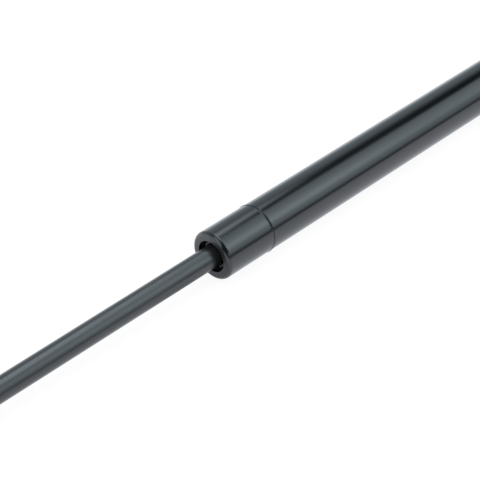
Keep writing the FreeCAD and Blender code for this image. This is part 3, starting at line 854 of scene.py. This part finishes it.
@dataclass
class TubeAssembly:
    """The pressure tube with its rod-end cap, guide and inner stack."""

    shop: Workshop
    segments: int = 256
    seam: float = 0.22
    shoulder_round: float = 0.25
    step_radius: float = 8.3
    step_round: float = 0.9
    bore_radius: float = 7.6
    base_round: float = 2.4
    base_roll: float = 1.5
    base_hole: float = 5.4
    base_hole_round: float = 0.375
    curl_hole: float = 6.6
    curl_wall: float = 0.7
    cap_skirt: float = 0.65
    cap_face: float = 1.4
    cap_hole: float = 6.0
    cap_hole_round: float = 0.2
    cap_edge: float = 1.5
    cap_inner_round: float = 0.9
    cap_back_round: float = 0.4
    cap_round_steps: int = 10
    rim_width: float = 0.5
    rim_height: float = 0.16
    rim_drop: float = 0.1625
    rim_round: float = 0.08
    rim_end_round: float = 0.05
    inner: tuple[str, ...] = (
        "rod_guide", "guide_bush", "wiper_ring", "seal_washer", "rod_seal", "seal_support",
        "stop_cushion", "base_plug", "plug_o_ring",
    )

    def tube(self) -> None:
        """Builds the tube, stepped under the cap and rolled in at both ends."""
        tube = Span.of("pressure_tube")
        shoulder = Span.of("rod_end_cap").end + self.seam
        curl = tube.start + self.curl_wall
        roll = tube.end - self.base_roll
        outline = rounded([
            (tube.start, self.curl_hole),
            (tube.start, self.step_radius, self.step_round),
            (shoulder, self.step_radius),
            (shoulder, tube.radius, self.shoulder_round),
            (tube.end, tube.radius, self.base_round),
            (tube.end, self.base_hole, self.base_hole_round),
            (roll, self.base_hole),
            (roll, self.bore_radius),
            (curl, self.bore_radius),
            (curl, self.curl_hole),
        ])
        piece = turned("painted_tube", outline, tube.centre, self.segments)
        self.shop.fit(piece, "pressure_tube", "tube")

    def cap(self) -> None:
        """Builds the cap with its rolled nose and the fine proud rim at the seam."""
        cap = Span.of("rod_end_cap")
        radius = cap.radius - self.rim_height
        inner = radius - self.cap_skirt
        back = cap.start + self.cap_face
        rim_start = cap.end - self.rim_width
        slope = self.rim_width / 3
        outline = rounded([
            (cap.start, self.cap_hole, self.cap_hole_round),
            (cap.start, radius, self.cap_edge),
            (rim_start, radius),
            (rim_start + slope, cap.radius, self.rim_round),
            (cap.end - slope, cap.radius, self.rim_round),
            (cap.end, radius - self.rim_drop, self.rim_end_round),
            (cap.end, inner),
            (back, inner, self.cap_inner_round),
            (back, self.cap_hole, self.cap_back_round),
        ], self.cap_round_steps)
        piece = turned("painted_cap", outline, cap.centre, self.segments)
        self.shop.fit(piece, "rod_end_cap", "tube")

    def build(self) -> None:
        """Builds and dresses the whole sub-assembly."""
        self.tube()
        self.cap()
        for node in self.inner:
            self.shop.keep(node)


@dataclass
class RodAssembly:
    """The piston rod with the piston and what clamps it."""

    shop: Workshop
    segments: int = 192
    thread_radius: float = 3.0
    thread_length: float = 10.5
    thread_end_round: float = 0.6
    shoulder_round: float = 0.4
    stop_round: float = 0.1
    spigot_radius: float = 2.5
    spigot_end_round: float = 0.4
    carried: tuple[str, ...] = ("piston", "piston_ring", "piston_washer", "throttle_disc", "piston_nut")

    def rod(self) -> None:
        """Builds the rod with its reduced ends."""
        rod = Span.of("piston_rod")
        stop = Span.of("piston_washer").start
        shoulder = rod.start + self.thread_length
        outline = rounded([
            (rod.start, 0.0),
            (rod.start, self.thread_radius, self.thread_end_round),
            (shoulder, self.thread_radius),
            (shoulder, rod.radius, self.shoulder_round),
            (stop, rod.radius, self.stop_round),
            (stop, self.spigot_radius),
            (rod.end, self.spigot_radius, self.spigot_end_round),
            (rod.end, 0.0),
        ])
        piece = turned("nitrided_rod", outline, rod.centre, self.segments)
        self.shop.fit(piece, "piston_rod", "rod")

    def build(self) -> None:
        """Builds and dresses the whole sub-assembly."""
        self.rod()
        for node in self.carried:
            self.shop.keep(node)


def circle(radius: float) -> RadiusAt:
    """Gives a radius that is the same at every angle, in millimetres."""
    return lambda angle: radius


@dataclass
class EndFitting:
    """One end's ball socket, spring clip and ball stud."""

    shop: Workshop
    end: End
    socket_rounding: float = 0.18
    clip_rounding: float = 0.1
    segments: int = 120
    sharp_degrees: float = 32.0
    ball_radius: float = 5.0
    ball_rings: int = 40
    foot_radius: float = 1.8
    neck_radius: float = 3.3
    neck_top: float = 8.4
    neck_flare: float = 1.0
    flare_rings: int = 8
    flats: float = 13.0
    hex_height: float = 4.6
    hex_chamfer: float = 0.6
    hex_inset: float = 0.2
    hex_chamfer_rings: int = 8
    face_height: float = 0.5
    face_radius: float = 6.2
    face_chamfer: float = 0.1
    shank_radius: float = 4.0
    shank_length: float = 14.0
    shank_chamfer: float = 0.8
    run_out: float = 0.6
    pitch: float = 1.25
    thread_depth: float = 0.68
    flank_slope: float = 2.5
    root_share: float = 0.12
    rings_a_turn: int = 20

    def ball_stations(self) -> list[Station]:
        """Lays out the ball, from its flat foot up to the neck, and the neck's flare.

        Returns:
            The stations, by their height above the ball's centre.
        """
        foot = math.acos(self.foot_radius / self.ball_radius)
        neck = math.acos(self.neck_radius / self.ball_radius)
        stations = []
        for k in range(self.ball_rings + 1):
            lift = -foot + (foot + neck) * k / self.ball_rings
            height = self.ball_radius * math.sin(lift)
            stations.append((height, circle(self.ball_radius * math.cos(lift))))
        for k in range(self.flare_rings + 1):
            bend = math.pi / 2 * k / self.flare_rings
            height = self.neck_top - self.neck_flare + self.neck_flare * math.sin(bend)
            stations.append((height, circle(self.neck_radius + self.neck_flare * (1 - math.cos(bend)))))
        return stations

    def hexagon(self, limit: float) -> RadiusAt:
        """Cuts the hexagon's corners back to a circle.

        Args:
            limit: The circle's radius.

        Returns:
            The radius as a function of the angle.
        """
        sector = math.pi / 3
        flat = self.flats / 2
        return lambda angle: min(flat / math.cos((angle % sector) - sector / 2), limit)

    def hex_stations(self) -> list[Station]:
        """Lays out the hexagon from its underside to its top, with its corners chamfered.

        Returns:
            The stations, by their height above the ball's centre.
        """
        inner = self.flats / 2 - self.hex_inset
        corner = self.flats / math.sqrt(3)
        top = self.neck_top + self.hex_height
        cone = []
        for k in range(self.hex_chamfer_rings + 1):
            share = k / self.hex_chamfer_rings
            cone.append((self.hex_chamfer * share, inner + (corner - inner) * share))
        low = [(self.neck_top + height, self.hexagon(limit)) for height, limit in cone]
        high = [(top - height, self.hexagon(limit)) for height, limit in reversed(cone)]
        return low + high

    def thread_radius(self, height: float, start: float, end: float) -> RadiusAt:
        """Works out the threaded shank's radius at one height.

        Args:
            height: Height above the ball's centre.
            start: Where the thread starts.
            end: Where the shank ends.

        Returns:
            The radius as a function of the angle.
        """
        limit = min(self.shank_radius, self.shank_radius - self.shank_chamfer + (end - height))
        growth = min(1.0, (height - start) / self.pitch)

        def radius(angle: float) -> float:
            """Works out the radius at one angle.

            Args:
                angle: The angle, in radians.

            Returns:
                The radius, in millimetres.
            """
            turn = (height / self.pitch - angle / (2 * math.pi)) % 1.0
            tooth = min(1.0, max(0.0, abs(turn - 0.5) * self.flank_slope - self.root_share))
            return min(limit, self.shank_radius - self.thread_depth * growth * (1 - tooth))

        return radius

    def shank_stations(self) -> list[Station]:
        """Lays out the washer face, a plain stretch and the thread up to its chamfered end.

        Returns:
            The stations, by their height above the ball's centre.
        """
        top = self.neck_top + self.hex_height
        face = top + self.face_height
        start = face + self.run_out
        end = face + self.shank_length
        stations = [
            (top, circle(self.face_radius)),
            (face - self.face_chamfer, circle(self.face_radius)),
            (face, circle(self.face_radius - self.face_chamfer)),
            (face, circle(self.shank_radius)),
            (start, circle(self.shank_radius)),
        ]
        steps = int((end - start) / self.pitch * self.rings_a_turn)
        for k in range(1, steps + 1):
            height = start + (end - start) * k / steps
            stations.append((height, self.thread_radius(height, start, end)))
        return stations

    def stud(self) -> None:
        """Builds the ball stud: ball, flared neck, hexagon, washer face and threaded shank."""
        node = self.end.value + "_ball_stud"
        low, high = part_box(node)
        above_ball = self.neck_top + self.hex_height + self.face_height + self.shank_length
        centre = Vector(((low.x + high.x) / 2, (low.y + high.y) / 2, high.z - above_ball * MM))
        stations = self.ball_stations() + self.hex_stations() + self.shank_stations()
        name = self.end.value + "_stud_plated"
        piece = shaped(name, stations, centre, self.segments, self.sharp_degrees)
        self.shop.fit(piece, node, self.end.value + "_stud")

    def socket(self) -> None:
        """Softens the moulded socket's edges."""
        node = self.end.value + "_ball_socket"
        self.shop.fit(self.shop.softened(node, self.socket_rounding * MM), node, self.end.value)

    def clip(self) -> None:
        """Softens the spring clip's edges."""
        node = self.end.value + "_socket_clip"
        self.shop.fit(self.shop.softened(node, self.clip_rounding * MM), node, self.end.value + "_clip")

    def build(self) -> None:
        """Builds and dresses the whole fitting."""
        self.socket()
        self.clip()
        self.stud()


@dataclass(frozen=True)
class Softbox:
    """One studio lamp with a face that fades towards its edges and isn't mirrored in the strut."""

    name: str
    place: Triple
    target: Triple
    size: tuple[float, float]
    radiance: float
    fade: float = 0.2

    def turn(self) -> Matrix:
        """Points the lamp at its target, with its length near X.

        Returns:
            The lamp's rotation.
        """
        depth = (Vector(self.place) - Vector(self.target)).normalized()
        along = Vector((0.0, 1.0, 0.0)).cross(depth).normalized()
        return Matrix((along, depth.cross(along), depth)).transposed()

    def build(self) -> None:
        """Adds the lamp, whose face is darker near its edges."""
        lamp = bpy.data.lights.new(self.name, "AREA")
        lamp.shape = "RECTANGLE"
        lamp.size, lamp.size_y = self.size
        lamp.energy = self.radiance * math.pi * self.size[0] * self.size[1]
        lamp.use_nodes = True
        g = Graph(lamp.node_tree)
        parametric = g.add("ShaderNodeNewGeometry").outputs["Parametric"]
        face = g.add("ShaderNodeSeparateXYZ", vector=parametric).outputs
        falls = []
        for place in (face["X"], face["Y"]):
            edge = g.math("MINIMUM", place, g.math("SUBTRACT", 1.0, place))
            soft = g.add("ShaderNodeMapRange", interpolation_type="SMOOTHSTEP", value=edge)
            soft.inputs["From Max"].default_value = self.fade
            falls.append(soft.outputs[0])
        glow = g.add("ShaderNodeEmission", strength=g.math("MULTIPLY", *falls))
        g.add("ShaderNodeOutputLight", surface=glow.outputs[0])
        holder = bpy.data.objects.new(self.name, lamp)
        holder.location = self.place
        holder.rotation_euler = self.turn().to_euler()
        holder.visible_glossy = False
        bpy.context.scene.collection.objects.link(holder)


@dataclass(frozen=True)
class PhotoView:
    """The camera at the photograph's viewing angle. Its place is in metres."""

    lens: float = 127.6
    sensor_width: float = 36.0
    clip: Range = (0.01, 100.0)
    place: Triple = (-0.3436, -0.32553, 0.37756)
    right: Triple = (0.70307, -0.71112, 0.0)
    up: Triple = (0.44298, 0.43797, 0.78228)

    def build(self) -> None:
        """Places the camera and makes it the scene's own."""
        lens = bpy.data.cameras.new("photo_view")
        lens.lens = self.lens
        lens.sensor_width = self.sensor_width
        lens.clip_start, lens.clip_end = self.clip
        view = bpy.data.objects.new("photo_view", lens)
        right = Vector(self.right).normalized()
        up = Vector(self.up).normalized()
        turn = Matrix((right, up, right.cross(up))).transposed()
        view.matrix_world = Matrix.Translation(self.place) @ turn.to_4x4()
        bpy.context.scene.collection.objects.link(view)
        bpy.context.scene.camera = view


@dataclass(frozen=True)
class PaleFloor:
    """The floor: white to the camera, and dimmer in the strut's reflections. Lengths are in metres."""

    size: float = 14.0
    grid: int = 8
    shown: float = 0.92
    albedo: float = 0.12
    tint: Triple = (0.95, 1.0, 1.07)
    # mirrored_*: painted light on the floor in reflections, dimmer further in front of the strut
    mirrored_near: float = 0.95
    mirrored_reach: float = 0.36
    mirrored_behind: float = 1.12
    middle_blend: float = 0.005
    # shade_*: a painted shadow in the floor's reflections beside the cap's nose
    shade_place: Triple = (-0.040, 0.0, 0.0)
    shade_core: float = 0.2
    shade_reach: float = 0.022
    shade_depth: float = 0.5

    def mirrored(self, g: Graph) -> Socket:
        """Works out how bright the floor is in a reflection.

        It is painted light that dims with the distance in front of the strut and is even behind it,
        and it has a painted shadow beside the cap's nose, where the strut shades the floor.

        Args:
            g: The floor's graph.

        Returns:
            The floor's radiance.
        """
        place = g.add("ShaderNodeTexCoord").outputs["Object"]
        across = g.add("ShaderNodeSeparateXYZ", vector=place).outputs["Y"]
        # painted light: the reflected glow falls off with the distance in front of the strut
        away = g.math("DIVIDE", g.math("ABSOLUTE", across), self.mirrored_reach)
        near = g.math("DIVIDE", self.mirrored_near, g.math("ADD", away, 1.0))
        glow = g.remap(across, -self.middle_blend, self.middle_blend, near, self.mirrored_behind)
        # painted shadow: the reflected glow is darkened in a patch beside the cap's nose
        reach = g.vectors("DISTANCE", place, self.shade_place)["Value"]
        core = self.shade_core * self.shade_reach
        shade = g.remap(reach, core, self.shade_reach, self.shade_depth, 1.0)
        return g.math("MULTIPLY", glow, shade)

    def build(self) -> None:
        """Lays the floor, which keeps a faint shadow of the strut."""
        mesh = bmesh.new()
        bmesh.ops.create_grid(mesh, x_segments=self.grid, y_segments=self.grid, size=self.size / 2)
        piece = finish_mesh("studio_floor", mesh)
        material = bpy.data.materials.new("pale_floor")
        material.use_nodes = True
        g = Graph(material.node_tree)
        paths = g.add("ShaderNodeLightPath").outputs
        mirrored = g.math("MULTIPLY", paths["Is Glossy Ray"], self.mirrored(g))
        seen = g.math("MAXIMUM", paths["Is Camera Ray"], paths["Is Transmission Ray"])
        strength = g.math("MAXIMUM", g.math("MULTIPLY", seen, self.shown), mirrored)
        matte = g.add("ShaderNodeBsdfDiffuse", color=rgba(self.albedo, self.albedo, self.albedo))
        colour = g.mix(paths["Is Glossy Ray"], rgba(1.0, 1.0, 1.0), rgba(*self.tint))
        glow = g.add("ShaderNodeEmission", color=colour, strength=strength)
        both = g.add("ShaderNodeAddShader")
        g.join(matte.outputs[0], both.inputs[0])
        g.join(glow.outputs[0], both.inputs[1])
        g.add("ShaderNodeOutputMaterial", surface=both.outputs[0])
        piece.data.materials.append(material)


@dataclass(frozen=True)
class SlantedWindow:
    """A window high behind the strut, whose foot slants up and whose light fades along X.

    Its tones are (X of the direction, radiance), its heights are degrees round the strut, and
    its slant runs over a range of X.
    """

    tones: tuple[Point, ...] = (
        (0.30, 3.60), (0.45, 3.40), (0.50, 2.35), (0.525, 1.40), (0.545, 1.65), (0.56, 1.70),
        (0.575, 1.15), (0.585, 0.60), (0.595, 0.10), (0.61, 0.0),
    )
    foot: float = 68.8
    foot_widths: Range = (24.0, 15.0)
    head: Range = (119.5, 135.0)
    slant: Range = (0.40, 0.57)
    rise: float = 35.5

    def fading(self, g: Graph, along: Socket) -> Socket:
        """Adds the curve of the window's tones.

        Args:
            g: The room's graph.
            along: The direction's X.

        Returns:
            The window's radiance before its foot and head are cut.
        """
        node = g.add("ShaderNodeFloatCurve", value=along)
        curve = node.mapping.curves[0]
        brightest = max(tone for _, tone in self.tones)
        curve.points[0].location = (0.0, 1.0)
        curve.points[1].location = (1.0, 0.0)
        for place, tone in self.tones:
            curve.points.new(place, tone / brightest)
        for point in curve.points:
            point.handle_type = "VECTOR"
        node.mapping.update()
        return g.math("MULTIPLY", node.outputs[0], brightest)

    def build(self, g: Graph, along: Socket, lift: Socket) -> Socket:
        """Adds the window.

        Args:
            g: The room's graph.
            along: The direction's X.
            lift: Its angle round the strut, in half turns.

        Returns:
            The window's radiance.
        """
        slant = g.remap(along, *self.slant, 0.0, 1.0)
        slant = g.math("MULTIPLY", slant, slant)
        rise = g.math("MULTIPLY", slant, self.rise / HALF_TURN)
        above = g.math("SUBTRACT", g.math("SUBTRACT", lift, rise), self.foot / HALF_TURN)
        width = g.remap(slant, 0.0, 1.0, *[degrees / HALF_TURN for degrees in self.foot_widths])
        low = g.math("DIVIDE", above, width, clamp=True)
        high = g.remap(lift, *[degrees / HALF_TURN for degrees in self.head], 1.0, 0.0)
        return g.math("MULTIPLY", self.fading(g, along), g.math("MULTIPLY", low, high))


@dataclass(frozen=True)
class Room:
    """The room round the strut: white to the camera, and soft bands of light in reflections.

    Each side's bands are (degrees, radiance), where the degrees go round the strut from the near
    horizon, 0, over the top, 90, to the far horizon, 180. The sides follow each other along X of
    the direction, and each edge is the range of X where one side turns into the next.
    """

    tint: Triple = (0.83, 0.97, 1.05)
    fill: float = 0.5
    window: SlantedWindow = SlantedWindow()
    far_edge: Range = (0.61, 0.66)
    flag_edge: Range = (0.30, 0.415)
    end_wall_edge: Range = (-0.62, -0.42)
    far_side: tuple[Point, ...] = (
        (0.0, 0.18), (6.0, 0.34), (11.0, 0.62), (16.0, 0.90), (25.0, 1.04), (34.0, 1.38),
        (43.0, 1.57), (50.0, 1.52), (58.0, 1.40), (66.0, 1.36), (74.0, 1.20), (82.0, 0.98),
        (88.0, 0.72), (93.0, 0.18), (98.0, 0.02), (112.0, 0.0), (124.0, 0.24), (138.0, 0.58),
        (160.0, 0.64), (180.0, 0.86),
    )
    near_side: tuple[Point, ...] = (
        (0.0, 0.26), (6.0, 0.30), (11.0, 0.58), (16.0, 0.98), (28.0, 1.30), (40.0, 2.02),
        (48.0, 2.12), (58.0, 1.72), (66.0, 1.46), (75.0, 1.22), (84.0, 1.04), (91.0, 0.80),
        (101.0, 0.10), (114.0, 0.0), (124.0, 0.18), (138.0, 0.58), (160.0, 0.64), (180.0, 0.86),
    )
    flagged_side: tuple[Point, ...] = (
        (0.0, 0.42), (7.0, 0.26), (11.0, 0.50), (18.0, 0.75), (30.0, 0.05), (62.0, 0.05),
        (82.0, 0.30), (95.0, 0.85), (107.0, 0.85), (118.0, 0.25), (128.0, 0.35), (150.0, 0.60),
        (180.0, 0.86),
    )
    end_wall: tuple[Point, ...] = (
        (0.0, 0.06), (68.0, 0.06), (90.0, 1.50), (120.0, 1.40), (140.0, 0.70), (156.0, 0.60),
        (170.0, 1.10), (180.0, 1.30),
    )

    def unit(self) -> float:
        """Gives the radiance that counts as 1 inside the room's graph."""
        return max(radiance for _, radiance in self.near_side)

    def ramp(self, g: Graph, lift: Socket, bands: Sequence[Point]) -> Socket:
        """Adds one side's ramp over the angle round the strut.

        Args:
            g: The room's graph.
            lift: The angle round the strut, in half turns.
            bands: The side's bands, in order.

        Returns:
            The ramp's colour.
        """
        ramp = g.add("ShaderNodeValToRGB")
        stops = ramp.color_ramp.elements
        while len(stops) < len(bands):
            stops.new(0.5)
        for stop, (degrees, radiance) in zip(stops, bands):
            stop.position = degrees / HALF_TURN
            stop.color = rgba(*[tone * radiance / self.unit() for tone in self.tint])
        g.join(lift, ramp.inputs[0])
        return ramp.outputs[0]

    def mirrored(self, g: Graph) -> Socket:
        """Works out what the strut mirrors of the room.

        Args:
            g: The room's graph.

        Returns:
            The room's colour in a direction.
        """
        direction = g.add("ShaderNodeTexCoord").outputs["Generated"]
        split = g.add("ShaderNodeSeparateXYZ", vector=direction).outputs
        along = split["X"]
        facing = g.math("MULTIPLY", split["Y"], -1.0)
        lift = g.math("DIVIDE", g.math("ARCTAN2", split["Z"], facing), math.pi)
        sides = (self.far_side, self.near_side, self.flagged_side, self.end_wall)
        far, near, flagged, wall = [self.ramp(g, lift, bands) for bands in sides]
        glow = g.math("DIVIDE", self.window.build(g, along, lift), self.unit())
        pane = g.vectors("MULTIPLY", glow, self.tint)["Vector"]
        lit = g.mix(g.remap(along, *self.far_edge, 0.0, 1.0), near, far)
        glazed = g.vectors("ADD", lit, pane)["Vector"]
        beside = g.mix(g.remap(along, *self.flag_edge, 1.0, 0.0), glazed, flagged)
        return g.mix(g.remap(along, *self.end_wall_edge, 1.0, 0.0), beside, wall)

    def build(self) -> None:
        """Sets the room up as the scene's world."""
        world = bpy.data.worlds.new("studio_room")
        bpy.context.scene.world = world
        world.use_nodes = True
        g = Graph(world.node_tree)
        fill = self.fill / self.unit()
        white = 1.0 / self.unit()
        paths = g.add("ShaderNodeLightPath").outputs
        seen = g.math("MAXIMUM", paths["Is Camera Ray"], paths["Is Transmission Ray"])
        lit = g.mix(paths["Is Diffuse Ray"], self.mirrored(g), rgba(fill, fill, fill))
        colour = g.mix(seen, lit, rgba(white, white, white))
        background = g.add("ShaderNodeBackground", color=colour, strength=self.unit())
        g.add("ShaderNodeOutputWorld", surface=background.outputs[0])


@dataclass(frozen=True)
class Studio:
    """Floor, lamps, room and camera."""

    floor: PaleFloor = PaleFloor()
    lamps: tuple[Softbox, ...] = (
        Softbox("key_softbox", (0.75, -0.95, 0.85), (0.0, 0.0, 0.0), (0.75, 1.3), 2.4),
        Softbox("overhead_softbox", (-0.1, 0.0, 0.7), (-0.1, 0.0, 0.0), (1.2, 0.8), 1.5),
    )
    room: Room = Room()
    view: PhotoView = PhotoView()

    def build(self) -> None:
        """Sets up the whole studio."""
        bpy.context.scene.view_settings.view_transform = "Standard"
        self.floor.build()
        for lamp in self.lamps:
            lamp.build()
        self.room.build()
        self.view.build()
        LOG.info("studio ready, with %d lamps", len(self.lamps))


def main() -> None:
    """Builds the studio and dresses the strut, one sub-assembly at a time."""
    logging.basicConfig(level=logging.INFO, format="%(name)s: %(message)s")
    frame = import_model()
    shop = Workshop(frame)
    Studio().build()
    TubeAssembly(shop).build()
    RodAssembly(shop).build()
    for end in End:
        EndFitting(shop, end).build()


if __name__ == "__main__":
    main()
